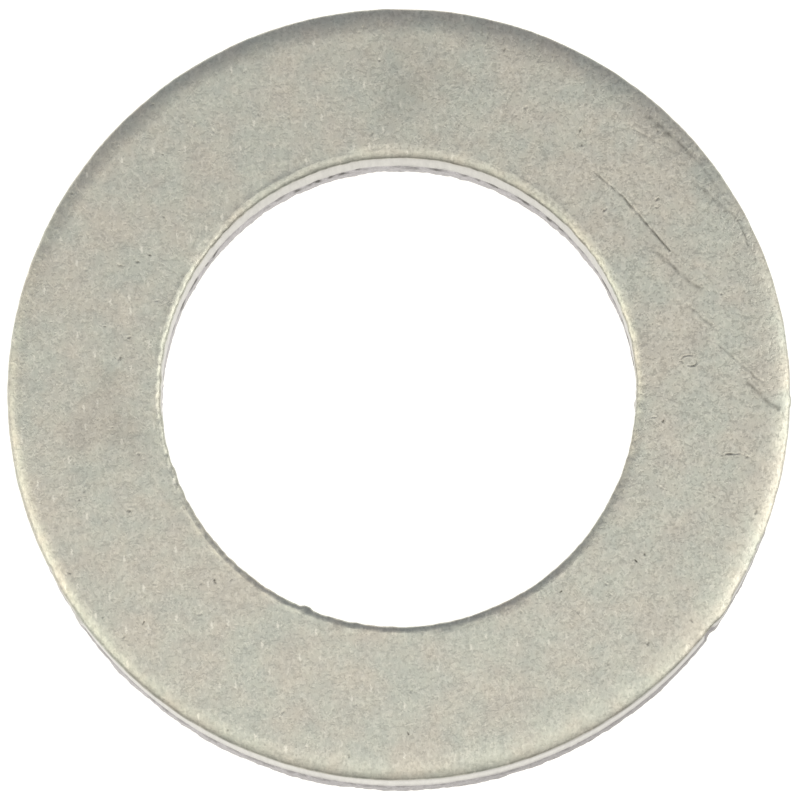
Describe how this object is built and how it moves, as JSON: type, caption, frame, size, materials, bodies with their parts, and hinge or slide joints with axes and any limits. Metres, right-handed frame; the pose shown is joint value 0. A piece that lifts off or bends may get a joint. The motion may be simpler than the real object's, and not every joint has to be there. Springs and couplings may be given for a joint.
{
  "type": "flat washer",
  "caption": "Round flat washer, stamped from steel strip, with a plain round hole for a 16 mm bolt.",
  "frame": {"origin": "centre of the bottom face, on the bore axis", "axes": "+Z along the bore axis, out of the face with the rolled-over edges; +X and +Y in the bottom face, either way round"},
  "size_m": [0.028, 0.028, 0.0027],
  "materials": {
    "zinc_plated_steel": "matt, barrel tumbled and zinc plated"
  },
  "bodies": {
    "root": {"flat_washer": "zinc_plated_steel"}
  },
  "joints": []
}
